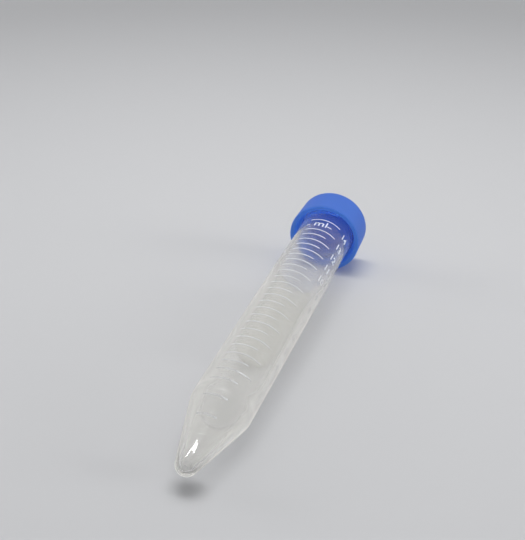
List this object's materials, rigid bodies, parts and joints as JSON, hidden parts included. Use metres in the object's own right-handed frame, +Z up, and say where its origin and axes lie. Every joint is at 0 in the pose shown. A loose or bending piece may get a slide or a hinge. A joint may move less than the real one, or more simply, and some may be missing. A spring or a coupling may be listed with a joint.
{
  "type": "screw-capped conical centrifuge tube",
  "caption": "Clear plastic conical tube with a printed scale and a blue screw cap over a seal disc, lying on its side.",
  "frame": {"origin": "on the surface the tube lies on, under the middle of its length", "axes": "+X from the tip to the cap, +Z up; the tube's own axis rises 2.18 degrees from the tip to the cap in the XZ plane"},
  "size_m": [0.1204, 0.022, 0.0221],
  "materials": {
    "clear_polypropylene": "clear, slightly milky, smooth",
    "blue_polyethylene": "satin",
    "blue_seal": "matt",
    "white_ink": "printed ink, slightly raised"
  },
  "bodies": {
    "tube_body": {"tube": "clear_polypropylene"},
    "seal_body": {"seal_disc": "blue_seal"},
    "cap_body": {"cap": "blue_polyethylene"}
  },
  "joints": [
    {"name": "cap_lift", "type": "slide", "parent": "tube_body", "child": "seal_body", "axis": [0.9993, 0, 0.0381], "range_m": [0, 0.015]},
    {"name": "cap_turn", "type": "hinge", "parent": "seal_body", "child": "cap_body", "pos_m": [0.04878, 0, 0.01099], "axis": [0.9993, 0, 0.0381], "range_deg": [0, 1080]}
  ],
  "couplings": [
    {"joint": "cap_lift", "follows": "cap_turn", "m_per_rad": 0.00079577}
  ]
}
